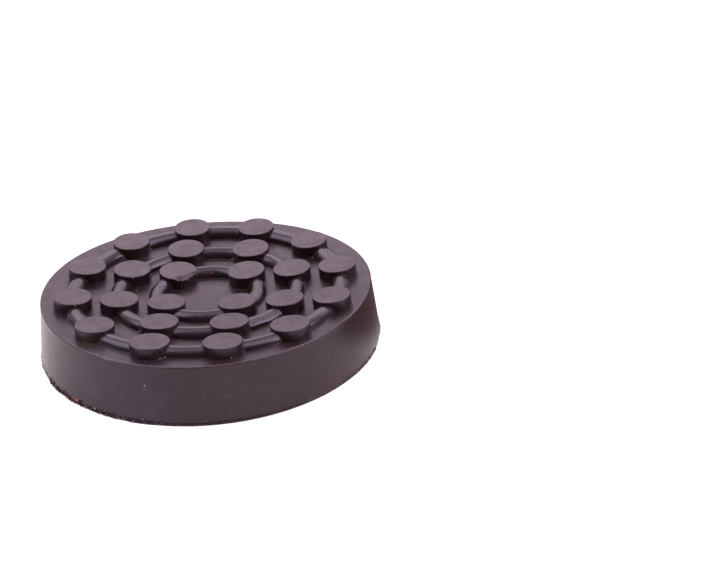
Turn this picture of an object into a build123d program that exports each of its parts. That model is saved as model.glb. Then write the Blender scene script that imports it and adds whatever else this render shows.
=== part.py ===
"""Round rubber jack pad, moulded in one piece.

The upper face falls from its rim to the outer ring of studs, and from there slopes gently
down to a rounded middle. It carries three rings of round studs, which stand square to the
slope and are joined by half-round ribs. The underside has a recess with a lip, which snaps
over the edge of a lifting plate.

Millimetres, +Z up. The origin is the centre of the base, in the plane the pad stands on.
"""

import os
from math import cos, radians, sin, sqrt, tan

from build123d import *

# Disc
base_radius = 60.2
face_radius = 57.4
body_height = 20.7
rim_round = 0.5

# Thin flash left round the base where the moulding was trimmed
flash_width = 0.4
flash_thickness = 0.7

# Recess for the lifting plate
plate_radius = 50.0
plate_clearance = 0.75
lip_grip = 1.5
lip_height = 2.0
lip_back_height = 1.2
recess_depth = 8.5
floor_round = 0.8

# Fall of the upper face from its rim to the outer ring, and its slope in degrees inside it
margin_fall = 1.3
dish_angle = 4.1

# Rings of studs, from the outside in
ring_radii = [46.7, 31.3, 17.6]
stud_counts = [12, 8, 4]
stud_radius = 6.65
stud_height = 4.1
stud_edge_round = 0.3

# Depth that each stud is sunk, so that the slope meets it all round
stud_root = 1.0

# Half-round ribs along the rings
rib_section_radius = 3.2
rib_height = 3.1

# The plate fits the seat with its clearance, and the lip reaches over the plate's edge
seat_radius = plate_radius + plate_clearance
lip_radius = plate_radius - lip_grip

# The slope runs between the outer and the inner ring, and ends in part of a sphere
outer_radius = max(ring_radii)
middle_radius = min(ring_radii)
middle_sphere_radius = middle_radius / sin(radians(dish_angle))


def face_height(radius):
    """Height of the upper face at a distance from the centre."""
    if radius >= outer_radius:
        return body_height - margin_fall * (face_radius - radius) / (face_radius - outer_radius)
    slope = tan(radians(dish_angle))
    if radius >= middle_radius:
        return body_height - margin_fall - (outer_radius - radius) * slope
    middle_edge = body_height - margin_fall - (outer_radius - middle_radius) * slope
    sphere_centre = middle_edge + middle_sphere_radius * cos(radians(dish_angle))
    return sphere_centre - sqrt(middle_sphere_radius**2 - radius**2)


# One stud for each ring, on the +X side, square to the slope
studs = []
for ring_radius in ring_radii:
    lean = radians(dish_angle)
    foot = Plane(origin=(ring_radius, 0, face_height(ring_radius)), z_dir=(-sin(lean), 0, cos(lean)))
    with BuildPart() as stud:
        with BuildSketch(foot.offset(-stud_root)):
            Circle(stud_radius)
        extrude(amount=stud_root + stud_height)
        fillet(stud.edges().sort_by(Axis.Z)[-1], radius=stud_edge_round)
    studs.append(stud.part)


with BuildPart() as jack_pad:
    # Drafted disc with the dished face
    with BuildSketch(Plane.XZ):
        with BuildLine():
            Polyline(
                (0, face_height(0)),
                (0, 0),
                (base_radius, 0),
                (face_radius, body_height),
                (outer_radius, face_height(outer_radius)),
                (middle_radius, face_height(middle_radius)),
            )
            ThreePointArc(
                (middle_radius, face_height(middle_radius)),
                (middle_radius / 2, face_height(middle_radius / 2)),
                (0, face_height(0)),
            )
        make_face()
    revolve(axis=Axis.Z)
    face_edge = jack_pad.edges().group_by(Axis.Z)[-1].sort_by(SortBy.RADIUS)[-1]
    fillet(face_edge, radius=rim_round)

    # Flash
    with BuildSketch(Plane.XY):
        Circle(base_radius + flash_width)
    extrude(amount=flash_thickness)

    # Recess: a short straight lip, a slope behind it, and the wider seat
    with BuildSketch(Plane.XZ):
        with BuildLine():
            Polyline(
                (0, 0),
                (lip_radius, 0),
                (lip_radius, lip_height),
                (seat_radius, lip_height + lip_back_height),
                (seat_radius, recess_depth),
                (0, recess_depth),
                close=True,
            )
        recess_section = make_face()
        seat_corner = recess_section.vertices().group_by(Axis.Y)[-1].sort_by(Axis.X)[-1]
        fillet(seat_corner, radius=floor_round)
    revolve(axis=Axis.Z, mode=Mode.SUBTRACT)

    # Ribs, sunk so that they stand rib_height above the face
    with BuildSketch(Plane.XZ):
        for ring_radius in ring_radii:
            with Locations((ring_radius, face_height(ring_radius) + rib_height - rib_section_radius)):
                Circle(rib_section_radius)
    revolve(axis=Axis.Z)

    # Studs, each ring turned by half its pitch
    for ring_stud, count in zip(studs, stud_counts):
        with PolarLocations(0, count, start_angle=180 / count):
            add(ring_stud)

jack_pad.part.label = "jack_pad"

os.makedirs("parts", exist_ok=True)
export_step(jack_pad.part, "parts/jack_pad.step")
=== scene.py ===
"""Looks of the round rubber jack pad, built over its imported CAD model.

The moulding is one closed mesh: a chain of rings for the recess, the base and the side, a
filled disc for the upper face with its ribs, and a stack of rings for each stud. Crumbs and
flecks of trimmed rubber sit on it as small closed pieces.
"""

import math

import bmesh
import bpy
import numpy as np
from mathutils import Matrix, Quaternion, Vector, noise
from mathutils.bvhtree import BVHTree
from mathutils.geometry import delaunay_2d_cdt


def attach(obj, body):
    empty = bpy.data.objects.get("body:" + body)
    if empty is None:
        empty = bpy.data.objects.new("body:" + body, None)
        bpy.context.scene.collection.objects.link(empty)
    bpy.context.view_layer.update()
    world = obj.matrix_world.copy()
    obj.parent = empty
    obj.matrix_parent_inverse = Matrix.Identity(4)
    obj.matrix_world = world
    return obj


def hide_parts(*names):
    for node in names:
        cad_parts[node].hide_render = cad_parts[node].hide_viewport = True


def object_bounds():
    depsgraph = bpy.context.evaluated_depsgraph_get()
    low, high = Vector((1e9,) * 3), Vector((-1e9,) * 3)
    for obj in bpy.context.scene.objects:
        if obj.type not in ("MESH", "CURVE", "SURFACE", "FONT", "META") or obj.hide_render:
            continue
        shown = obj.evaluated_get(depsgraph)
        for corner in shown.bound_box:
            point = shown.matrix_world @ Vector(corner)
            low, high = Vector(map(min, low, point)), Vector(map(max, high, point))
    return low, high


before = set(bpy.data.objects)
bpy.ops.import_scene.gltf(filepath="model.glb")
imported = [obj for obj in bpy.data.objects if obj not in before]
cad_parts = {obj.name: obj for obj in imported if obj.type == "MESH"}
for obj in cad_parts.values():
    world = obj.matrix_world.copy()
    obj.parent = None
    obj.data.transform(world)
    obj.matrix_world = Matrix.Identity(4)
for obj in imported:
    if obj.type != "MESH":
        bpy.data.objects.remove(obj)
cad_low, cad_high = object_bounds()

MM = 0.001
rng = np.random.default_rng(7)

# Sizes of the moulding in mm, the same as the CAD part's
base_radius = 60.2
face_radius = 57.4
body_height = 20.7
rim_round = 0.5
flash_radius = cad_high.x / MM
flash_thickness = 0.7
lip_radius = 48.5
seat_radius = 50.75
lip_height = 2.0
lip_back_height = 1.2
recess_depth = 8.5
floor_round = 0.8
margin_fall = 1.3
dish_angle = math.radians(4.1)
stud_rings = ((12, 46.7), (8, 31.3), (4, 17.6))
stud_radius = 6.65
stud_height = 4.1
stud_edge_round = 0.3
rib_section_radius = 3.2
rib_height = 3.1

outer_radius = stud_rings[0][1]
middle_radius = stud_rings[-1][1]
middle_sphere_radius = middle_radius / math.sin(dish_angle)

# Gap in mm that ragged and loose parts keep to the CAD's box
box_gap = 0.01

# How far the pad is from round: order of each wave round the edge, its height in mm and the
# direction in degrees where it peaks
rim_waves = ((1, 0.3, -175), (2, 0.4, 10), (3, 0.65, 35))
base_waves = ((0, -0.45, 0), (1, 0.2, 100), (2, 0.3, 15), (3, 0.45, 35))

# How finely the mesh is divided: points round a ring, rings of a part, spacings in mm
side_segments = 720
stud_segments = 80
worn_stud_segments = 200
rib_segments = 18
rib_spacing = 0.8
face_ring_step = 1.2
face_spacing = 1.3
recess_rings = 30
recess_spacing = 1.8
recess_edge_gap = 0.8
floor_round_rings = 5
base_rings = 6
side_rings = 16
rim_rings = 8
points_per_toolmark = 5

# Rings of points on a stud: parts of the way up its wall, turns round its top edge in degrees,
# and distances in from the wall on a plain and on a worn top
stud_wall_parts = (0.1, 0.25, 0.4, 0.55, 0.7, 0.85, 1.0)
stud_edge_turns = (22.5, 45, 67.5, 90)
plain_top_rings = (0.55, 2.6, 4.6)
worn_top_rings = (0.55, 1.0, 1.5, 2.1, 3.0, 4.6)

# Rings of points on the face: distances from a rib's foot, parts of the way from there to the
# rim, one point to so many of the rim's, and the gap that points keep to a stud
beside_rib = (0.25, 0.6, 1.0)
margin_parts = (0.2, 0.4, 0.6, 0.78, 0.9, 0.96)
margin_thinning = 3
stud_gap = 0.25

# Damage to single studs: ring, place in the ring, direction and spread in degrees, depth of the
# tear in the top edge and roughness of the wall in mm
worn_studs = (
    (2, 1, -48, 52, 0.75, 0.3),
    (0, 8, -48, 34, 0.12, 0.2),
    (0, 10, -70, 22, 0.05, 0.12),
    (1, 1, -120, 24, 0.08, 0.12),
)

# Shape of the damage: part of its spread where it is full, size of its lumps in mm, how many
# times finer the small ones are, and how much the two add to the depth of a tear
worn_full_part = 0.45
lump_size = 0.7
fine_lumps = 2.3
lump_depth = 0.8
fine_lump_depth = 0.4

# Where it lies, in mm: a tear runs in from the wall and up from a height, and draws the edge in
# by part of its depth, and roughness fades out under the skin and toward the foot
tear_width = 2.4
tear_full_width = 0.2
tear_lowest = 1.0
tear_drawn_in = 0.15
rough_skin = 0.5
rough_foot = 0.6

# Toolmarks across one rib: its ring, the directions between which they lie and the stretch over
# which they fade in degrees, their pitch and depth in mm, and the distances out from the rib's
# crest over which they rise and fall
toolmark_ring = 1
toolmark_start = -59.0
toolmark_end = -33.0
toolmark_fade = 1.5
toolmark_pitch = 0.9
toolmark_depth = 0.15
toolmark_flank = (0.7, 1.6, 2.2, 2.9)

# Where marks for the material fade: past a rib's foot, in its radii, and up a toolmark's crest,
# which takes a painted highlight
rib_mark_fade = (0.97, 1.03)
crest_mark_fade = (0.05, 0.8)

# Stretches where the trimming left the flash ragged: directions in degrees where each begins, is
# full, begins to fade and ends
ragged_stretches = ((-153, -146, -106, -96), (40, 60, 120, 150))

# Cuts of the knife along the flash: shortest and longest in degrees, how many are drawn, the
# direction that none starts past, their greatest depth in mm, and their roughness as height,
# spacing and seed of noise
cut_lengths = (3, 8)
cut_draws = 110
last_cut = 354
cut_depth = 0.16
cut_roughness = ((0.09, 1.6, 3.0), (0.06, 0.7, 9.0))

# Small shapes in mm: the rounded lower edge of the lip, then the flash, which stands out a
# little where it is flush and more where it is ragged
lip_edge = 0.25
lip_edge_middle = 0.07
flush_flash = 0.05
ragged_flash = 0.35
flash_bottom_inset = 0.15
flash_bulge = 0.02
flash_heights = (0.1, 0.3)
flash_shoulder = 0.15
flash_top_inset = 0.05
flash_top_width = 0.2
flash_lift = 0.12

# Spacing in mm and seed of the noise that lifts the flash's top
flash_lift_noise = (1.2, 5.0)

# Strength of the trimmed edge's mark, which darkens it as painted shade along the foot, where the
# flash is flush, and on the foot of the side
flush_edge_mark = 0.3
foot_edge_mark = 0.8

# Heights in mm of the side's lowest ring, of its next one, and how far its last one stays below
# the rim
foot_height = 1.0
side_start = 1.6
side_end_gap = 0.8


def waves(angles, table):
    """Sum of the waves of a table at each angle."""
    total = np.zeros_like(angles)
    for order, height, peak in table:
        total += height * np.cos(order * (angles - math.radians(peak)))
    return total


def face_height(radius):
    """Height of the plain upper face, without ribs or studs, at each radius."""
    margin_slope = margin_fall / (face_radius - outer_radius)
    slope = math.tan(dish_angle)
    middle_edge = body_height - margin_fall - (outer_radius - middle_radius) * slope
    inside = np.minimum(radius, middle_radius)
    sphere = middle_edge + middle_sphere_radius * math.cos(dish_angle)
    rounded = sphere - np.sqrt(middle_sphere_radius**2 - inside**2)
    sloped = body_height - margin_fall - (outer_radius - radius) * slope
    margin = body_height - (face_radius - radius) * margin_slope
    return np.select([radius < middle_radius, radius < outer_radius], [rounded, sloped], margin)


def smooth_step(value, low, high):
    """Share from 0 to 1 as the value goes from low to high."""
    share = np.clip((value - low) / (high - low), 0, 1)
    return share * share * (3 - 2 * share)


def hump(value, start, full, fade, end):
    """Share that rises from 0 to 1 between the first two places and falls between the others."""
    return smooth_step(value, start, full) * (1 - smooth_step(value, fade, end))


def toolmarks(x, y):
    """Height of the fine ridges across the outer flank of one rib."""
    angle = np.degrees(np.arctan2(y, x))
    sector = hump(angle, toolmark_start, toolmark_start + toolmark_fade,
                  toolmark_end - toolmark_fade, toolmark_end)
    ring_radius = stud_rings[toolmark_ring][1]
    along = np.radians(angle) * ring_radius
    off = np.hypot(x, y) - ring_radius
    flank = hump(off, *toolmark_flank)
    return toolmark_depth * sector * flank * np.sin(along * 2 * math.pi / toolmark_pitch)


def ground_height(x, y):
    """Height of the upper face with its ribs."""
    radius = np.hypot(x, y)
    ground = face_height(radius)
    for ring, (_, ring_radius) in enumerate(stud_rings):
        off = np.minimum(np.abs(radius - ring_radius) / rib_section_radius, 1)
        rise = np.sqrt(1 - off**2)
        if ring == toolmark_ring:
            rise = rise + toolmarks(x, y) / rib_section_radius * rise
        rib_foot = face_height(ring_radius) + rib_height - rib_section_radius
        rib = rib_foot + rib_section_radius * rise
        ground = np.where(off < 1, np.maximum(ground, rib), ground)
    return ground


class Surface:
    """Points and faces of one mesh, with marks that tell a material which part each point is on."""

    def __init__(self):
        self.points = []
        self.count = 0
        self.faces = []
        marks = ("rib", "edge", "recess", "rim", "side", "top", "ridge", "crease")
        self.marks = {mark: [] for mark in marks}

    def add(self, x, y, z, **marks):
        """Adds points in mm and gives back their numbers."""
        x, y, z = np.broadcast_arrays(x, y, z)
        self.points.append(np.stack([x, y, z], axis=-1).astype(float).reshape(-1, 3))
        for name, values in self.marks.items():
            values.append(np.broadcast_to(marks.get(name, 0.0), x.shape).astype(float).ravel())
        numbers = np.arange(self.count, self.count + x.size)
        self.count += x.size
        return numbers

    def bridge(self, first, second):
        """Joins two rings of as many points with quads."""
        quads = np.stack([first, np.roll(first, -1), np.roll(second, -1), second], axis=1)
        self.faces.extend(quads.tolist())

    def cap(self, ring, x, y, z, **marks):
        """Closes a ring with triangles to one middle point."""
        (middle,) = self.add(np.array([x]), np.array([y]), np.array([z]), **marks)
        following = np.roll(ring, -1)
        self.faces.extend([a, b, middle] for a, b in zip(ring.tolist(), following.tolist()))

    def all_points(self):
        return np.concatenate(self.points)

    def fill(self, loops, inner, upward=True):
        """Fills the first closed loop with triangles, through the inner points and round the
        other loops, which are holes."""
        numbers = np.concatenate(loops + [inner])
        flat = self.all_points()[numbers, :2]
        edges = []
        start = 0
        for loop in loops:
            ends = start + np.arange(len(loop))
            edges.extend(zip(ends.tolist(), np.roll(ends, -1).tolist()))
            start += len(loop)
        points = [Vector(point) for point in flat.tolist()]
        _, _, cells, origins, _, _ = delaunay_2d_cdt(points, edges, [], 0, 1e-6)
        source = np.array([origin[0] for origin in origins])
        triangles = source[np.array(cells)]

        # Triangles with all their corners on the loop of one hole lie in that hole
        hole = np.full(len(numbers), -1)
        hole[:start] = np.repeat(np.arange(len(loops)), [len(loop) for loop in loops])
        corners = hole[triangles]
        in_hole = (corners[:, 0] > 0) & (corners == corners[:, :1]).all(axis=1)
        triangles = triangles[~in_hole]

        a, b, c = (flat[triangles[:, i]] for i in range(3))
        first, second = b - a, c - a
        area = first[:, 0] * second[:, 1] - first[:, 1] * second[:, 0]
        wrong = (area > 0) != upward
        triangles[wrong] = triangles[wrong][:, ::-1]
        self.faces.extend(numbers[triangles].tolist())

    def make(self, name):
        """Makes the mesh and its object, with sharp edges between creased points."""
        piece = make_piece(name, self.all_points() * MM, self.faces, self.marks)
        mesh = piece.data
        creased = np.concatenate(self.marks["crease"]) > 0
        ends = np.empty(2 * len(mesh.edges), np.int32)
        mesh.edges.foreach_get("vertices", ends)
        sharp = mesh.attributes.new("sharp_edge", "BOOLEAN", "EDGE")
        sharp.data.foreach_set("value", creased[ends.reshape(-1, 2)].all(axis=1))
        return piece


def add_mark(mesh, mark, values):
    """Stores a value for each point of a mesh, which a material can read."""
    layer = mesh.attributes.new(mark, "FLOAT", "POINT")
    layer.data.foreach_set("value", values.astype(np.float32))


def add_object(name, data):
    """Adds an object to the scene, at the origin."""
    made = bpy.data.objects.new(name, data)
    bpy.context.scene.collection.objects.link(made)
    return made


def make_piece(name, points, faces, marks):
    """Makes a smooth mesh with its marks, and its object."""
    mesh = bpy.data.meshes.new(name)
    mesh.from_pydata(points.tolist(), [], faces)
    for mark, values in marks.items():
        add_mark(mesh, mark, np.concatenate(values))
    mesh.shade_smooth()
    return add_object(name, mesh)


def circle(segments, turn=0.0):
    """Angles of points evenly spaced round a circle."""
    return np.arange(segments) * (2 * math.pi / segments) + turn


def line(start, end, steps):
    """Points of a straight stretch in a section, without its first point."""
    start, end = np.array(start), np.array(end)
    return [tuple(start + (end - start) * (i + 1) / steps) for i in range(steps)]


def noise_round(angles, radius, spacing, seed):
    """Smooth noise from -1 to 1 that closes on itself round a circle."""
    scale = radius / spacing
    places = [Vector((math.cos(a) * scale, math.sin(a) * scale, seed)) for a in angles]
    return np.array([noise.noise(place) for place in places])


def polar_points(stations, spacing):
    """Points on rings at the given radii, about one spacing apart."""
    x, y = [], []
    for radius in stations:
        angles = circle(max(6, round(2 * math.pi * radius / spacing)))
        x.append(radius * np.cos(angles))
        y.append(radius * np.sin(angles))
    return np.concatenate(x), np.concatenate(y)


class Stud:
    """Place and directions of one stud, which stands square to the slope."""

    def __init__(self, ring_radius, angle, worn=None):
        along, across = math.cos(angle), math.sin(angle)
        lean, rise = math.sin(dish_angle), math.cos(dish_angle)
        height = float(face_height(ring_radius))
        self.foot = np.array([ring_radius * along, ring_radius * across, height])
        self.up = np.array([-lean * along, -lean * across, rise])
        self.outward = np.array([rise * along, rise * across, lean])
        self.sideways = np.array([-across, along, 0.0])
        self.angle = angle
        self.worn = worn

    def wear(self, direction, out, height):
        """Moves points of a worn stud: the top edge sags in lumps and the wall is rough."""
        turned, spread, depth, rough = self.worn
        off = np.abs((direction - math.radians(turned) + math.pi) % (2 * math.pi) - math.pi)
        share = 1 - smooth_step(np.degrees(off), spread * worn_full_part, spread)
        places = np.stack([out * np.cos(direction), out * np.sin(direction), height], axis=-1)
        places = [Vector(place) for place in (places / lump_size).tolist()]
        lumps = np.array([noise.noise(place) for place in places])
        fine = np.array([noise.noise(place * fine_lumps) for place in places])
        brim = smooth_step(out, stud_radius - tear_width, stud_radius - tear_full_width)
        brim = brim * smooth_step(height, tear_lowest, stud_height)
        wall = smooth_step(out, stud_radius - rough_skin, stud_radius)
        wall = wall * smooth_step(height, 0.0, rough_foot)
        sag = share * brim * depth
        height = height - sag * (1 + lump_depth * lumps + fine_lump_depth * fine)
        out = out + share * wall * rough * (lumps + fine) - sag * tear_drawn_in
        return out, height

    def point(self, direction, out, height):
        """Points at an angle round the stud, a distance from its axis and a height on it."""
        turned = direction - self.angle
        flat = np.multiply.outer(out * np.cos(turned), self.outward)
        flat += np.multiply.outer(out * np.sin(turned), self.sideways)
        return (self.foot + flat + np.multiply.outer(height, self.up)).T


def place_studs():
    """All the studs, ring by ring, each ring turned by half its pitch."""
    worn = {(ring, place): wear for ring, place, *wear in worn_studs}
    return [Stud(radius, angle, worn.get((ring, place)))
            for ring, (count, radius) in enumerate(stud_rings)
            for place, angle in enumerate(circle(count, math.pi / count))]


def add_stud(surface, stud):
    """Adds one stud and gives back the ring at its root."""
    angles = circle(worn_stud_segments if stud.worn else stud_segments)
    full = np.ones(len(angles))
    x, y, z = stud.point(angles, stud_radius * full, 0 * full)
    ground = ground_height(x, y)
    ring = root = surface.add(x, y, ground, crease=1.0)
    # Height on the stud at which the ground meets it, all round
    foot = (ground - z) / stud.up[2]
    edge = stud_height - stud_edge_round
    sections = []
    for part in stud_wall_parts:
        sections.append((stud_radius, foot + (edge - foot) * part, 0.0))
    for turn in np.radians(stud_edge_turns):
        out = stud_radius - stud_edge_round * (1 - math.cos(turn))
        sections.append((out, edge + stud_edge_round * math.sin(turn) * full, turn / math.pi))
    for inward in worn_top_rings if stud.worn else plain_top_rings:
        sections.append((stud_radius - inward, stud_height * full, 1.0))
    for out, height, top in sections:
        out = out * full
        if stud.worn:
            out, height = stud.wear(angles, out, height)
        following = surface.add(*stud.point(angles, out, height), top=top)
        surface.bridge(ring, following)
        ring = following
    surface.cap(ring, *(stud.foot + stud.up * stud_height), top=1.0)
    return root


def add_upper_face(surface, studs, rim, rim_out, stud_roots):
    """Fills the upper face, with the ribs, between the rim and the studs."""
    rib_turns = np.radians(np.linspace(-90, 90, rib_segments + 1))
    beside = rib_section_radius + np.array(beside_rib)
    clear = beside[-1]
    xs, ys, creases = [], [], []

    def gather(x, y, crease=False):
        xs.append(x)
        ys.append(y)
        creases.append(np.full(x.shape, crease))

    # Ribs, with more points along the toolmarks
    for ring, (_, ring_radius) in enumerate(stud_rings):
        stations = ring_radius + rib_section_radius * np.sin(rib_turns)
        feet = stations[[0, -1]]
        stations = np.concatenate([ring_radius - beside, stations, ring_radius + beside])
        angles = circle(round(2 * math.pi * ring_radius / rib_spacing))
        if ring == toolmark_ring:
            start, end = math.radians(toolmark_start), math.radians(toolmark_end)
            turned = (angles + math.pi) % (2 * math.pi) - math.pi
            outside = (turned < start) | (turned > end)
            steps = math.ceil((end - start) * ring_radius / toolmark_pitch * points_per_toolmark)
            angles = np.concatenate([angles[outside], np.linspace(start, end, steps)])
        for radius in stations:
            gather(radius * np.cos(angles), radius * np.sin(angles), radius in feet)

    # Slopes between the ribs, and the middle
    rings = [radius for _, radius in stud_rings]
    slopes = [(inner + clear, outer - clear) for outer, inner in zip(rings, rings[1:])]
    for inner, outer in slopes + [(0, rings[-1] - clear)]:
        steps = max(2, round((outer - inner) / face_ring_step))
        gather(*polar_points(np.linspace(inner, outer, steps + 1)[1:-1], face_spacing))

    # Margin
    margin = rings[0] + clear
    angles = circle(side_segments // margin_thinning)
    for part in margin_parts:
        radius = margin + (rim_out[::margin_thinning] - margin) * part
        gather(radius * np.cos(angles), radius * np.sin(angles))

    x, y, crease = np.concatenate(xs), np.concatenate(ys), np.concatenate(creases)
    free = np.ones(len(x), bool)
    for stud in studs:
        free &= np.hypot(x - stud.foot[0], y - stud.foot[1]) > stud_radius + stud_gap
    x, y, crease = x[free], y[free], crease[free]
    radius = np.hypot(x, y)
    on_rib = np.zeros(len(x))
    for ring_radius in rings:
        off = np.abs(radius - ring_radius) / rib_section_radius
        on_rib = np.maximum(on_rib, 1 - smooth_step(off, *rib_mark_fade))
    # Crests of the toolmarks, which the material paints pale as a highlight
    crest_highlights = smooth_step(toolmarks(x, y) / toolmark_depth, *crest_mark_fade)
    crest_highlights = crest_highlights * (np.abs(radius - rings[toolmark_ring]) < rib_section_radius)
    inner = surface.add(x, y, ground_height(x, y), rib=on_rib, ridge=crest_highlights, crease=crease)
    surface.fill([rim] + stud_roots, inner)


def add_section(surface, section, ring, angles, **marks):
    """Adds a ring for each point of a section and joins them in order."""
    for out, height in section:
        following = surface.add(out * np.cos(angles), out * np.sin(angles), height, **marks)
        surface.bridge(ring, following)
        ring = following
    return ring


def ragged_share(angles):
    """Share from 0 to 1 of the flash that the trimming left at each angle."""
    turned = (np.degrees(angles) + 180) % 360 - 180
    return np.maximum(*(hump(turned, *stretch) for stretch in ragged_stretches))


def cut_edge(angles):
    """How far short of the flash's full width the knife cut at each angle."""
    cuts = np.cumsum(rng.uniform(*cut_lengths, cut_draws))
    cuts = np.radians(cuts[cuts < last_cut])
    ends = np.append(cuts, cuts[0] + 2 * math.pi)
    depth = rng.uniform(0.0, cut_depth, len(cuts))
    depth = np.append(depth, depth[0])
    turned = (angles - cuts[0]) % (2 * math.pi) + cuts[0]
    straight = np.interp(turned, ends, depth)
    index = np.clip(np.searchsorted(ends, turned, side="right") - 1, 0, len(cuts) - 1)
    left, right = ends[index], ends[index + 1]
    chord = (turned - left) * (right - turned) * flash_radius / 2
    rough = sum(height * noise_round(angles, flash_radius, spacing, seed)
                for height, spacing, seed in cut_roughness)
    return np.maximum(straight + chord + rough, 0.0)


def build_moulding():
    surface = Surface()
    angles = circle(side_segments)
    across, along = np.cos(angles), np.sin(angles)

    # Floor of the recess
    floor_out = seat_radius - floor_round
    floor_edge = surface.add(floor_out * across, floor_out * along, recess_depth, recess=1.0)
    stations = np.linspace(0, floor_out - recess_edge_gap, recess_rings)[1:]
    inner = surface.add(*polar_points(stations, recess_spacing), recess_depth, recess=1.0)
    surface.fill([floor_edge], inner, upward=False)

    # Wall of the recess and lip
    section = []
    for turn in np.radians(np.linspace(90, 0, floor_round_rings + 1))[1:]:
        height = recess_depth - floor_round + floor_round * math.sin(turn)
        section.append((floor_out + floor_round * math.cos(turn), height))
    section += line(section[-1], (seat_radius, lip_height + lip_back_height), steps=3)
    section += line(section[-1], (lip_radius, lip_height), steps=2)
    section += line(section[-1], (lip_radius, lip_edge), steps=2)
    section += [(lip_radius + lip_edge_middle, lip_edge_middle), (lip_radius + lip_edge, 0)]
    ring = add_section(surface, section, floor_edge, angles, recess=1.0)

    # Base and its cut flash
    side_foot = base_radius + waves(angles, base_waves)
    ragged = ragged_share(angles)
    flash_out = flash_radius + waves(angles, base_waves) - cut_edge(angles)
    flash_out = np.minimum(flash_out, side_foot + flush_flash + ragged_flash * ragged)
    flash_out = np.minimum(flash_out, flash_radius - box_gap)
    bottom_out = flash_out - flash_bottom_inset
    for part in np.linspace(0, 1, base_rings + 1)[1:]:
        out = lip_radius + lip_edge + (bottom_out - lip_radius - lip_edge) * part
        ring = add_section(surface, [(out, 0)], ring, angles, recess=1.0 - part)
    lift = 1 + noise_round(angles, flash_radius, *flash_lift_noise)
    flash_top = flash_thickness + flash_lift * lift
    low, middle = flash_heights
    flash_section = [
        (flash_out - flash_bulge, low),
        (flash_out, middle),
        (flash_out - flash_bulge, flash_top - flash_shoulder),
        (np.minimum(flash_out - flash_top_inset, side_foot + flash_top_width), flash_top),
    ]
    # The trimmed edge's mark also paints shade along the foot
    trimmed_and_shaded = flush_edge_mark + (1 - flush_edge_mark) * ragged
    ring = add_section(surface, flash_section, ring, angles, edge=trimmed_and_shaded)

    # Drafted side
    rim_out = face_radius + waves(angles, rim_waves)
    top = face_height(rim_out)

    def side_out(height):
        return side_foot + (rim_out - side_foot) * height / top

    foot = [(side_out(foot_height), foot_height)]
    ring = add_section(surface, foot, ring, angles, edge=foot_edge_mark * ragged, side=1 - ragged)
    heights = np.linspace(side_start, body_height - side_end_gap, side_rings)
    side = [(side_out(height), height) for height in heights]
    ring = add_section(surface, side, ring, angles, side=1.0)

    # Rounded rim
    draft = np.arctan2(side_foot - rim_out, top)
    margin_angle = math.atan(margin_fall / (face_radius - outer_radius))
    centre_r = rim_out - rim_round * np.tan((math.pi / 2 - margin_angle - draft) / 2)
    centre_z = face_height(centre_r) - rim_round / math.cos(margin_angle)
    for part in np.linspace(0, 1, rim_rings):
        turn = draft + (math.pi / 2 + margin_angle - draft) * part
        rim_end = centre_r + rim_round * np.cos(turn)
        point = (rim_end, centre_z + rim_round * np.sin(turn))
        on_rim = math.sin(part * math.pi)
        ring = add_section(surface, [point], ring, angles, side=1 - part, rim=on_rim)

    studs = place_studs()
    roots = [add_stud(surface, stud) for stud in studs]
    add_upper_face(surface, studs, ring, rim_end, roots)
    return surface.make("jack_pad_moulding")


class Nodes:
    """Short way to make a material's or world's nodes."""

    def __init__(self, tree):
        self.tree = tree

    def put(self, value, socket):
        """Links a socket to another one's value, or sets it."""
        if isinstance(value, bpy.types.NodeSocket):
            self.tree.links.new(value, socket)
        else:
            socket.default_value = value

    def make(self, kind, inputs=None, **settings):
        """Makes a node, with its settings and its inputs' values or links."""
        node = self.tree.nodes.new("ShaderNode" + kind)
        for name, value in settings.items():
            setattr(node, name, value)
        for key, value in (inputs or {}).items():
            self.put(value, node.inputs[key])
        return node

    def math(self, operation, first, second=0.0):
        return self.make("Math", {0: first, 1: second}, operation=operation).outputs[0]

    def times(self, first, second):
        return self.math("MULTIPLY", first, second)

    def noise(self, place, scale, detail, roughness=0.5):
        values = {"Vector": place, "Scale": scale, "Detail": detail, "Roughness": roughness}
        return self.make("TexNoise", values).outputs["Fac"]

    def ramp(self, factor, *stops):
        """Colour ramp with grey or coloured stops, as (place, value) pairs."""
        node = self.make("ValToRGB", {"Fac": factor})
        elements = node.color_ramp.elements
        while len(elements) < len(stops):
            elements.new(0.5)
        for element, (place, value) in zip(elements, stops):
            element.position = place
            element.color = (*value, 1) if isinstance(value, tuple) else (value, value, value, 1)
        return node.outputs["Color"]

    def mark(self, name):
        return self.make("Attribute", attribute_name=name).outputs["Fac"]

    def mix(self, factor, first, second):
        return self.make("Mix", {0: factor, 6: first, 7: second}, data_type="RGBA").outputs[2]

    def bump(self, height, strength, distance, under=None):
        """Bumps of a height in mm, over those already there."""
        inputs = {"Strength": strength, "Distance": distance * MM, "Height": height}
        if under is not None:
            inputs["Normal"] = under
        return self.make("Bump", inputs).outputs["Normal"]


def new_material(name):
    material = bpy.data.materials.new(name)
    material.use_nodes = True
    nodes = Nodes(material.node_tree)
    return material, nodes, material.node_tree.nodes["Principled BSDF"].inputs


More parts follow.
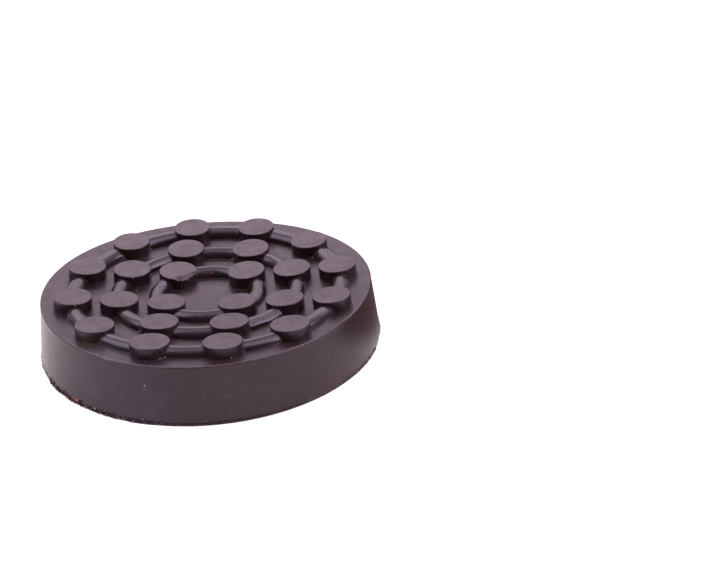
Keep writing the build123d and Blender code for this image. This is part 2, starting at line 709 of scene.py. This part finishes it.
def rubber_material():
    """Matt black rubber: brownish, bluish and glossier on the ribs, worn and with a painted
    highlight at the rim, with painted highlights, shade and sheen in patches.
    """
    material, nodes, shader = new_material("rubber")
    place = nodes.make("TexCoord").outputs["Object"]
    split = nodes.make("SeparateXYZ", {0: place}).outputs
    broad = nodes.noise(place, scale=45, detail=3)
    cloud = nodes.noise(place, scale=330, detail=3, roughness=0.6)
    grain = nodes.noise(place, scale=1300, detail=3, roughness=0.6)
    mottle = nodes.noise(place, scale=850, detail=3, roughness=0.65)
    blotch = nodes.noise(place, scale=240, detail=4, roughness=0.68)
    rib, rim, edge = nodes.mark("rib"), nodes.mark("rim"), nodes.mark("edge")
    recess, top, side = nodes.mark("recess"), nodes.mark("top"), nodes.mark("side")

    # Streaks across the ribs, left by the cutting of the mould
    turn = nodes.math("ARCTAN2", split["Y"], split["X"])
    reach = nodes.make("VectorMath", {0: place}, operation="LENGTH").outputs["Value"]
    stretched = {"X": nodes.times(turn, 0.035), "Y": nodes.times(reach, 0.12),
                 "Z": nodes.times(split["Z"], 0.12)}
    along = nodes.make("CombineXYZ", stretched).outputs[0]
    streaks = nodes.noise(along, scale=2200, detail=2, roughness=0.7)

    # Colour
    color = nodes.ramp(broad, (0.3, (0.0125, 0.0068, 0.0072)), (0.7, (0.017, 0.0095, 0.0102)))
    dusty = nodes.ramp(cloud, (0.35, (0.030, 0.0125, 0.0085)), (0.6, (0.060, 0.030, 0.022)),
                       (0.75, (0.085, 0.045, 0.032)))
    color = nodes.mix(nodes.times(recess, 0.75), color, dusty)
    tops = nodes.ramp(mottle, (0.35, (0.012, 0.007, 0.0075)), (0.55, (0.022, 0.014, 0.016)),
                      (0.72, (0.042, 0.030, 0.034)))
    color = nodes.mix(top, color, tops)
    # Painted highlights on the toolmark crests
    painted_crest_highlights = nodes.times(nodes.mark("ridge"), 0.65)
    color = nodes.mix(painted_crest_highlights, color, (0.105, 0.098, 0.105, 1))
    # Grey at the rim: wear, and a painted highlight
    worn = nodes.ramp(mottle, (0.42, (0.018, 0.012, 0.012)), (0.64, (0.110, 0.094, 0.092)))
    color = nodes.mix(nodes.times(rim, nodes.mark("wear")), color, worn)
    # The trimmed edge: near black as a painted shade along the foot, with brownish grain
    trimmed_and_shaded = nodes.ramp(grain, (0.45, (0.007, 0.0045, 0.0045)), (0.75, (0.030, 0.017, 0.012)))
    color = nodes.mix(edge, color, trimmed_and_shaded)
    # Patches over the colour: reddish stains with painted shade among them, a painted bluish sheen,
    # and yellowish dust with a painted reflection among it
    patchy = nodes.ramp(cloud, (0.3, 0.35), (0.7, 1.0))
    for mark, shade in (("stain_and_shade", (0.075, 0.018, 0.011, 1)), ("blue_sheen", (0.045, 0.040, 0.072, 1)),
                        ("dust_and_reflection", (0.10, 0.085, 0.045, 1))):
        color = nodes.mix(nodes.times(nodes.mark(mark), patchy), color, shade)
    nodes.put(color, shader["Base Color"])

    # Roughness
    rough = nodes.ramp(cloud, (0.3, 0.30), (0.7, 0.40))
    rough = nodes.mix(top, rough, nodes.ramp(mottle, (0.35, 0.27), (0.7, 0.46)))
    rough = nodes.mix(side, rough, nodes.ramp(cloud, (0.3, 0.22), (0.7, 0.30)))
    rough = nodes.mix(rib, rough, nodes.ramp(streaks, (0.3, 0.13), (0.7, 0.23)))
    chalky = nodes.ramp(cloud, (0.3, 0.40), (0.7, 0.58))
    rough = nodes.mix(nodes.times(recess, 0.8), rough, chalky)
    nodes.put(rough, shader["Roughness"])

    # The trimmed edge scatters less, and the flat skin shines in blotches
    shine = nodes.mix(top, nodes.ramp(blotch, (0.32, 0.38), (0.5, 0.44), (0.68, 0.52)),
                      nodes.ramp(blotch, (0.36, 0.39), (0.5, 0.51), (0.64, 0.66)))
    shine = nodes.mix(rib, shine, (0.5, 0.5, 0.5, 1))
    shine = nodes.mix(side, shine, nodes.ramp(blotch, (0.3, 0.41), (0.7, 0.46)))
    shine = nodes.mix(edge, shine, (0.1, 0.1, 0.1, 1))
    nodes.put(shine, shader["Specular IOR Level"])
    tint = nodes.mix(rib, (1.0, 0.86, 0.98, 1), (0.85, 0.89, 1.0, 1))
    nodes.put(tint, shader["Specular Tint"])

    # Bumps: grain and pits off the ribs, less on the side, and streaks on the ribs
    off_rib = nodes.math("SUBTRACT", 1.0, rib)
    matt = nodes.math("SUBTRACT", off_rib, nodes.times(side, 0.55))
    skin = nodes.bump(nodes.times(grain, matt), strength=0.35, distance=0.05)
    pits = nodes.bump(nodes.times(mottle, matt), strength=0.4, distance=0.12, under=skin)
    brushed = nodes.bump(nodes.times(streaks, rib), strength=0.3, distance=0.03, under=pits)
    nodes.put(brushed, shader["Normal"])
    return material


def crumb_material():
    """Crumbs of rubber and grit, from black through grey or orange to nearly white."""
    material, nodes, shader = new_material("crumbs")
    place = nodes.make("TexCoord").outputs["Object"]
    grain = nodes.noise(place, scale=2600, detail=3, roughness=0.6)
    speckle = nodes.times(nodes.math("SUBTRACT", grain, 0.5), 0.35)
    tone = nodes.math("ADD", nodes.mark("tone"), speckle)
    orange = nodes.ramp(tone, (0.05, (0.013, 0.007, 0.007)), (0.35, (0.042, 0.019, 0.012)),
                        (0.55, (0.115, 0.045, 0.024)), (0.75, (0.27, 0.14, 0.08)),
                        (0.95, (0.60, 0.50, 0.42)))
    grey = nodes.ramp(tone, (0.05, (0.012, 0.008, 0.008)), (0.40, (0.036, 0.027, 0.026)),
                      (0.70, (0.130, 0.108, 0.095)), (0.95, (0.62, 0.57, 0.52)))
    nodes.put(nodes.mix(nodes.mark("warm"), grey, orange), shader["Base Color"])
    nodes.put(nodes.ramp(grain, (0.3, 0.4), (0.7, 0.7)), shader["Roughness"])
    nodes.put(nodes.bump(grain, strength=0.5, distance=0.06), shader["Normal"])
    return material


# Camera, fitted to the circles of the pad in the photograph
camera_place = Vector((98.47, -517.95, 278.57)) * MM
camera_aim = Vector((48.49, 44.33, 0.0)) * MM
camera_roll = math.radians(2.730)
camera_lens = 84.389
sensor_width = 36
picture_size = (712, 565)

# Where places on the pad are looked for: a pixel near its middle, the steps toward it from a
# pixel beside the pad, and a distance in metres that lies outside it
pad_pixel = (208, 285)
search_steps = 400
outside_reach = 0.08

look = (camera_aim - camera_place).to_track_quat("-Z", "Y")
camera_turn = look @ Quaternion((0, 0, 1), -camera_roll)


def place_camera():
    data = bpy.data.cameras.new("camera")
    data.lens = camera_lens
    data.sensor_width = sensor_width
    camera = add_object("camera", data)
    camera.location = camera_place
    camera.rotation_mode = "QUATERNION"
    camera.rotation_quaternion = camera_turn
    bpy.context.scene.camera = camera


class Seen:
    """Finds places on the pad: those that a pixel of the photograph shows, and others."""

    def __init__(self, piece):
        mesh = piece.data
        points = np.empty(3 * len(mesh.vertices))
        mesh.vertices.foreach_get("co", points)
        self.points = points.reshape(-1, 3)
        faces = [list(face.vertices) for face in mesh.polygons]
        self.tree = BVHTree.FromPolygons(self.points.tolist(), faces)

    def at(self, across, down):
        """Place in metres and direction of the surface at a pixel. From a pixel beside the pad,
        this is the place where the pad begins toward its middle."""
        zoom = camera_lens / sensor_width * picture_size[0]
        for share in np.linspace(0, 1, search_steps):
            x = across + (pad_pixel[0] - across) * share - picture_size[0] / 2
            y = picture_size[1] / 2 - down - (pad_pixel[1] - down) * share
            ray = camera_turn @ Vector((x / zoom, y / zoom, -1))
            place, normal = self.along(camera_place, ray.normalized())
            if place is not None:
                return place, normal
        raise RuntimeError("no part of the pad is seen at this pixel")

    def along(self, start, direction):
        """Place and direction of the surface first met from a point in a direction."""
        return self.tree.ray_cast(start, direction)[:2]

    def on_side(self, angle, height):
        """Place and direction of the surface at an angle, seen from outside at a height."""
        outward = Vector((math.cos(angle), math.sin(angle), 0))
        return self.along(outward * outside_reach + Vector((0, 0, height)), -outward)

    def upright(self, angle, reach, height, direction):
        """Place and direction of the surface above or below a point at an angle and a reach."""
        start = Vector((reach * math.cos(angle), reach * math.sin(angle), height))
        return self.along(start, Vector((0, 0, direction)))


def paint(piece, seen, mark, spots):
    """Marks the surface round the pixels of spots: across, down, radius in mm, strength."""
    share = np.zeros(len(seen.points))
    for across, down, radius, strength in spots:
        place, _ = seen.at(across, down)
        away = np.linalg.norm(seen.points - np.array(place), axis=1) / (radius * MM)
        share = np.maximum(share, strength * np.exp(-away**2))
    add_mark(piece.data, mark, share)


# Marks seen in the photograph: pixel across and down, radius in mm, strength
# Reddish stains; those at the feet of studs and on the right of the side are painted shade
red_stains_and_shade = (
    (340, 380, 3.5, 0.30), (362, 350, 4.0, 0.22), (335, 387, 3.0, 0.30), (352, 366, 4.0, 0.18),
    (285, 341, 2.6, 0.22), (246, 286, 2.6, 0.28), (128, 255, 2.4, 0.25), (306, 256, 2.4, 0.24),
    (207, 274, 2.2, 0.32), (222, 360, 2.4, 0.20), (75, 403, 3.0, 0.35), (152, 395, 5.0, 0.08),
)
# Painted bluish sheen low on the left of the side
painted_blue_sheen = (
    (112, 378, 10.0, 0.40), (95, 385, 8.0, 0.40), (125, 400, 8.0, 0.50), (150, 412, 6.0, 0.40),
    (140, 385, 7.0, 0.30),
)
# Yellowish dust; the strong spot at the foot of a front left stud is a painted reflection
dust_and_reflection_spots = (
    (88, 343, 2.4, 0.35), (67, 320, 1.5, 0.30), (97, 347, 1.6, 0.10), (228, 396, 1.6, 0.08),
    (147, 388, 1.0, 0.15), (243, 387, 1.2, 0.08),
)

# Wear that greys the rim, and a painted highlight along it, in the same terms
rim_wear_and_highlight = (
    (110, 358, 9.0, 1.0), (82, 343, 9.0, 0.7), (145, 370, 9.0, 0.6), (195, 375, 11.0, 0.5),
    (255, 362, 12.0, 0.4), (305, 338, 12.0, 0.35), (340, 308, 12.0, 0.3), (58, 312, 10.0, 0.45),
    (56, 280, 9.0, 0.35), (110, 222, 12.0, 0.3), (200, 207, 14.0, 0.3), (290, 220, 14.0, 0.3),
)

# Specks seen in the photograph: pixel across and down, size in mm, tone from dark to light
pale_specks_and_glints = (
    (144.5, 385.5, 0.26, 0.95), (127.5, 372.5, 0.24, 0.72), (105, 376, 0.22, 0.6),
    (241, 386, 0.22, 0.65), (278, 393.5, 0.22, 0.7), (226, 396, 0.22, 0.62),
    (220, 402, 0.22, 0.65), (142, 401, 0.20, 0.65), (231, 415, 0.20, 0.65),
    (205, 421, 0.22, 0.75), (97, 355, 0.24, 0.7), (133, 278, 0.30, 0.9),
    (137, 290, 0.28, 0.7), (138, 287, 0.22, 0.65), (61, 312, 0.26, 0.65),
    (55, 318, 0.26, 0.7), (68, 320, 0.28, 0.65), (75, 306, 0.30, 0.7),
    (231, 358, 0.26, 0.75), (160, 359, 0.28, 0.8), (163, 358.5, 0.24, 0.75),
    (165, 357, 0.26, 0.8), (85, 342, 0.20, 0.6), (98, 347, 0.22, 0.6),
    # The first two specks below lie on the inner front rib and are painted highlights
    (180, 313, 0.20, 0.8), (200, 315, 0.20, 0.85), (96, 343, 0.18, 0.6),
    (120, 347, 0.18, 0.6),
)

# Reddish crumbs in the same terms, without their sizes, which are drawn from a range
red_crumbs = (
    (202, 274, 0.3), (204.5, 273, 0.35), (206.5, 273, 0.68), (209, 273, 0.38),
    (211, 273, 0.7), (213, 274, 0.32), (206, 274.5, 0.3), (208.5, 271.5, 0.32),
)
red_crumb_sizes = (0.2, 0.32)

# Rubble below the stud with the rough wall: how many, pixels across and down that they lie
# between, sizes in mm, lightest tone, warmth of the colour
rubble_count = 30
rubble_across = (159, 167)
rubble_down = (351, 360)
rubble_sizes = (0.14, 0.28)
rubble_lightest = 0.65
rubble_warmth = 0.3

# Crumbs left along the trimmed base: start and end in degrees, crumbs in each mm, size, lightest
# tone, and how warm their colour is
crumb_bands = (
    (-149, -136, 4.5, 0.34, 0.80, 0.6),
    (-136, -128, 4.5, 0.38, 0.75, 1.0),
    (-128, -106, 4.5, 0.31, 0.76, 0.6),
    (-106, -97, 2.4, 0.17, 0.85, 0.3),
    (-97, -78, 1.6, 0.24, 0.35, 0.4),
    (-78, -30, 0.9, 0.16, 0.5, 0.3),
    (-30, 18, 1.0, 0.22, 0.6, 0.6),
    (18, 62, 2.0, 0.28, 0.75, 0.9),
    (62, 104, 0.8, 0.22, 0.5, 0.5),
    (104, 141, 1.8, 0.28, 0.7, 0.9),
    (141, 213, 1.0, 0.24, 0.6, 0.5),
)

# Their lowest height and the span above it in mm, how strongly they gather low, parts of their
# band's size, the share of light ones, and the parts of the lightest tone of light and dark ones
trimming_lowest = 0.12
trimming_span = 1.6
trimming_gather = 1.3
trimming_sizes = (0.6, 1.4)
trimming_light_share = 0.4
trimming_light = (0.75, 1.1)
trimming_dark = (0.0, 0.4)

# Grit on the side, the face and the floor of the recess: how many, sizes in mm and tones
side_grit, side_grit_sizes = 70, (0.08, 0.16)
face_grit, face_grit_sizes = 90, (0.07, 0.15)
outer_grit_tones = (0.15, 0.7)
recess_grit, recess_grit_sizes = 170, (0.12, 0.42)
recess_grit_darkest, recess_grit_warmth = 0.25, 0.8

# Where it may lie, in mm: above the base and below the rim, from the middle of the face and of
# the recess, and how strongly it gathers at the recess's edge
side_grit_lowest = 2
side_grit_rim_gap = 1
face_grit_reach = 56
recess_grit_reach = 49.5
recess_grit_gather = 0.35

# Heights in metres from which the surface is looked for above the face and in the recess
above_height = 0.05
under_height = 0.004

# Shape of one crumb: parts of its size for its width and height, roughness of its surface, part
# of its height by which its middle is lifted, stray of its tone, and a slanting direction that
# turns are counted from
crumb_widths = (0.55, 0.95)
crumb_rises = (0.45, 0.8)
crumb_roughness = (0.72, 1.12)
crumb_lift = 0.25
crumb_tone_stray = 0.06
slanting = (0.31, 0.17, 0.93)


class Crumbs:
    """Small lumpy closed pieces, each part sunk into the surface that it clings to."""

    def __init__(self):
        ball = bmesh.new()
        bmesh.ops.create_icosphere(ball, subdivisions=2, radius=1)
        self.ball = np.array([vert.co[:] for vert in ball.verts])
        self.ball_faces = np.array([[vert.index for vert in face.verts] for face in ball.faces])
        ball.free()
        self.points = []
        self.tones = []
        self.warmths = []

    def add(self, place, normal, size, tone, warm=0.0):
        """Adds a crumb at a place in metres, with a size in mm."""
        up = np.array(normal)
        side = np.cross(up, slanting)
        side /= np.linalg.norm(side)
        turn = rng.uniform(0, 2 * math.pi)
        first = math.cos(turn) * side + math.sin(turn) * np.cross(up, side)
        second = np.cross(up, first)
        parts = np.array((1.0, rng.uniform(*crumb_widths), rng.uniform(*crumb_rises)))
        length, width, rise = size * MM * parts
        shape = self.ball * rng.uniform(*crumb_roughness, (len(self.ball), 1))
        shape = shape @ np.array([first * length, second * width, up * rise])
        points = np.array(place) + up * rise * crumb_lift + shape
        reach = np.hypot(points[:, 0], points[:, 1])
        points[:, :2] *= np.minimum(1, (flash_radius - 2 * box_gap) * MM / reach)[:, None]
        points[:, 2] = np.clip(points[:, 2], box_gap * MM, cad_high.z - box_gap * MM)
        self.points.append(points)
        stray = rng.uniform(-crumb_tone_stray, crumb_tone_stray)
        self.tones.append(np.full(len(points), tone + stray))
        self.warmths.append(np.full(len(points), warm))

    def make(self, name):
        faces = []
        for number in range(len(self.points)):
            faces.extend((self.ball_faces + len(self.ball) * number).tolist())
        marks = {"tone": self.tones, "warm": self.warmths}
        return make_piece(name, np.concatenate(self.points), faces, marks)


def build_crumbs(seen):
    crumbs = Crumbs()
    for across, down, size, tone in pale_specks_and_glints:
        crumbs.add(*seen.at(across, down), size, tone)
    for across, down, tone in red_crumbs:
        crumbs.add(*seen.at(across, down), rng.uniform(*red_crumb_sizes), tone, warm=1.0)

    for _ in range(rubble_count):
        across, down = rng.uniform(*rubble_across), rng.uniform(*rubble_down)
        size, tone = rng.uniform(*rubble_sizes), rubble_lightest * rng.random() ** 2
        crumbs.add(*seen.at(across, down), size, tone, rubble_warmth)

    for start, end, density, band_size, lightest, warm in crumb_bands:
        for _ in range(round(math.radians(end - start) * base_radius * density)):
            angle = math.radians(rng.uniform(start, end))
            height = (trimming_lowest + trimming_span * rng.random() ** trimming_gather) * MM
            light = rng.random() < trimming_light_share
            tone = lightest * rng.uniform(*(trimming_light if light else trimming_dark))
            size = band_size * rng.uniform(*trimming_sizes)
            crumbs.add(*seen.on_side(angle, height), size, tone, warm)

    for _ in range(side_grit):
        angle = rng.uniform(0, 2 * math.pi)
        height = rng.uniform(side_grit_lowest, body_height - side_grit_rim_gap) * MM
        size, tone = rng.uniform(*side_grit_sizes), rng.uniform(*outer_grit_tones)
        crumbs.add(*seen.on_side(angle, height), size, tone)

    for _ in range(face_grit):
        angle, reach = rng.uniform(0, 2 * math.pi), face_grit_reach * math.sqrt(rng.random()) * MM
        size, tone = rng.uniform(*face_grit_sizes), rng.uniform(*outer_grit_tones)
        crumbs.add(*seen.upright(angle, reach, above_height, -1), size, tone)

    for _ in range(recess_grit):
        angle = rng.uniform(0, 2 * math.pi)
        reach = recess_grit_reach * rng.random() ** recess_grit_gather * MM
        size = rng.uniform(*recess_grit_sizes)
        tone = recess_grit_darkest + (1 - recess_grit_darkest) * rng.random()
        crumbs.add(*seen.upright(angle, reach, under_height, 1), size, tone, recess_grit_warmth)
    return crumbs.make("jack_pad_crumbs")


# Pale table, lit softly through from below: half its width in metres, its grey, the colour and
# the strength of its glow, and its roughness
floor_reach = 3.0
floor_grey = 0.42
floor_glow = (1.0, 0.93, 0.95, 1)
floor_glow_strength = 0.72
floor_roughness = 0.9


def make_glowing(name, points, faces, grey, strength):
    """Makes an object of the set, which glows and has no gloss."""
    mesh = bpy.data.meshes.new(name)
    mesh.from_pydata(points, [], faces)
    material, nodes, shader = new_material(name)
    nodes.put((grey, grey, grey, 1), shader["Base Color"])
    nodes.put(0.0, shader["Specular IOR Level"])
    nodes.put(strength, shader["Emission Strength"])
    mesh.materials.append(material)
    return add_object(name, mesh), nodes, shader


def make_floor():
    far = floor_reach
    corners = [(-far, -far, 0), (far, -far, 0), (far, far, 0), (-far, far, 0)]
    floor, nodes, shader = make_glowing("floor", corners, [(0, 1, 2, 3)], floor_grey,
                                        floor_glow_strength)
    nodes.put(floor_roughness, shader["Roughness"])
    nodes.put(floor_glow, shader["Emission Color"])


# Dark curved card at the right, a painted dark reflection and shade for the right of the pad, whose
# foot, a painted shadow on the floor, pales outwards: centre, then radius and height of each ring
# of its section, all in mm, and its glow by the distance from the centre in tenths of a metre
card_centre = (113, 60)
card_section = ((96, 0.3), (60, 0.6), (58, 24))
card_segments = 64
card_glow = ((0.60, (0.20, 0.12, 0.13)), (0.70, (0.32, 0.23, 0.24)), (0.77, (0.70, 0.60, 0.62)),
             (0.86, (1.25, 1.15, 1.19)))


def make_dark_card():
    """Makes the card, which shows only in the pad's gloss as a painted dark reflection and shade.
    """
    angles = circle(card_segments)
    points = []
    for radius, height in card_section:
        x = card_centre[0] + radius * np.cos(angles)
        y = card_centre[1] + radius * np.sin(angles)
        points.append(np.stack([x, y, np.full(card_segments, height)], axis=1))
    ring = np.arange(card_segments)
    faces = []
    for _ in card_section[1:]:
        low, high = ring, ring + card_segments
        faces.extend(np.stack([low, np.roll(low, -1), np.roll(high, -1), high], axis=1).tolist())
        ring = high
    points = (np.concatenate(points) * MM).tolist()
    faces.append(ring.tolist())
    card, nodes, shader = make_glowing("dark_card", points, faces, 0.0, 1.0)
    place = nodes.make("TexCoord").outputs["Object"]
    centre = (card_centre[0] * MM, card_centre[1] * MM, 0)
    off = nodes.make("VectorMath", {0: place, 1: centre}, operation="DISTANCE").outputs["Value"]
    reach = nodes.math("DIVIDE", off, 100 * MM)
    nodes.put(nodes.ramp(reach, *card_glow), shader["Emission Color"])
    card.visible_camera = False
    card.visible_diffuse = False
    card.visible_shadow = False
    card.visible_transmission = False


# Brightness of the studio by the angle up from the back, over the top and down to the front
light_bands = (
    (0, 1.6), (5, 1.2), (10, 0.62), (17, 0.74), (24, 1.75), (29, 1.95), (34, 2.1), (42, 4.1),
    (49, 2.4), (58, 1.35), (70, 1.35), (80, 1.8), (90, 2.2), (102, 1.8), (116, 0.8), (132, 0.3),
    (150, 0.1), (180, 0.1),
)

# Brightness at the sides, how far sideways they begin and are full, and the light's tint
light_sides = 0.4
sides_begin = 0.55
sides_full = 0.95
light_tint = (1.0, 0.85, 0.98)

# Soft boxes: direction, cosines of the edge and of the full part, brightness
soft_boxes = (
    ((-0.64, -0.12, 0.75), 0.88, 0.97, 3.6),
    ((0.56, -0.12, 0.82), 0.90, 0.97, 3.4),
    ((0.85, -0.12, 0.50), 0.93, 0.985, 6.0),
)


def make_light():
    world = bpy.data.worlds.new("studio")
    world.use_nodes = True
    nodes = Nodes(world.node_tree)
    background = world.node_tree.nodes["Background"].inputs
    toward = nodes.make("TexCoord").outputs["Generated"]
    split = nodes.make("SeparateXYZ", {0: toward}).outputs
    brightest = max(brightness for _, brightness in light_bands)

    def share_between(value, low, high):
        limits = {"Value": value, "From Min": low, "From Max": high}
        return nodes.make("MapRange", limits, interpolation_type="SMOOTHSTEP").outputs[0]

    def grey(brightness):
        level = brightness / brightest
        return (level, level, level, 1)

    over = nodes.math("ARCTAN2", nodes.math("ABSOLUTE", split["Z"]), split["Y"])
    share = nodes.math("DIVIDE", over, math.pi)
    light = nodes.ramp(share, *((angle / 180, level / brightest) for angle, level in light_bands))
    side = share_between(nodes.math("ABSOLUTE", split["X"]), sides_begin, sides_full)
    light = nodes.mix(side, light, grey(light_sides))
    for direction, edge, full, brightness in soft_boxes:
        directions = {0: toward, 1: Vector(direction).normalized()}
        near = nodes.make("VectorMath", directions, operation="DOT_PRODUCT").outputs["Value"]
        light = nodes.mix(share_between(near, edge, full), light, grey(brightness))
    tinted = nodes.make("VectorMath", {0: light, 1: light_tint}, operation="MULTIPLY").outputs[0]
    nodes.put(tinted, background["Color"])
    nodes.put(brightest, background["Strength"])
    bpy.context.scene.world = world
    bpy.context.scene.view_settings.view_transform = "Standard"


place_camera()
make_floor()
make_dark_card()
make_light()

pad = build_moulding()
pad.data.materials.append(rubber_material())
seen = Seen(pad)
paint(pad, seen, "stain_and_shade", red_stains_and_shade)
paint(pad, seen, "blue_sheen", painted_blue_sheen)
paint(pad, seen, "dust_and_reflection", dust_and_reflection_spots)
paint(pad, seen, "wear", rim_wear_and_highlight)
crumbs = build_crumbs(seen)
crumbs.data.materials.append(crumb_material())

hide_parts("jack_pad")
for piece in (pad, crumbs):
    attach(piece, "root")
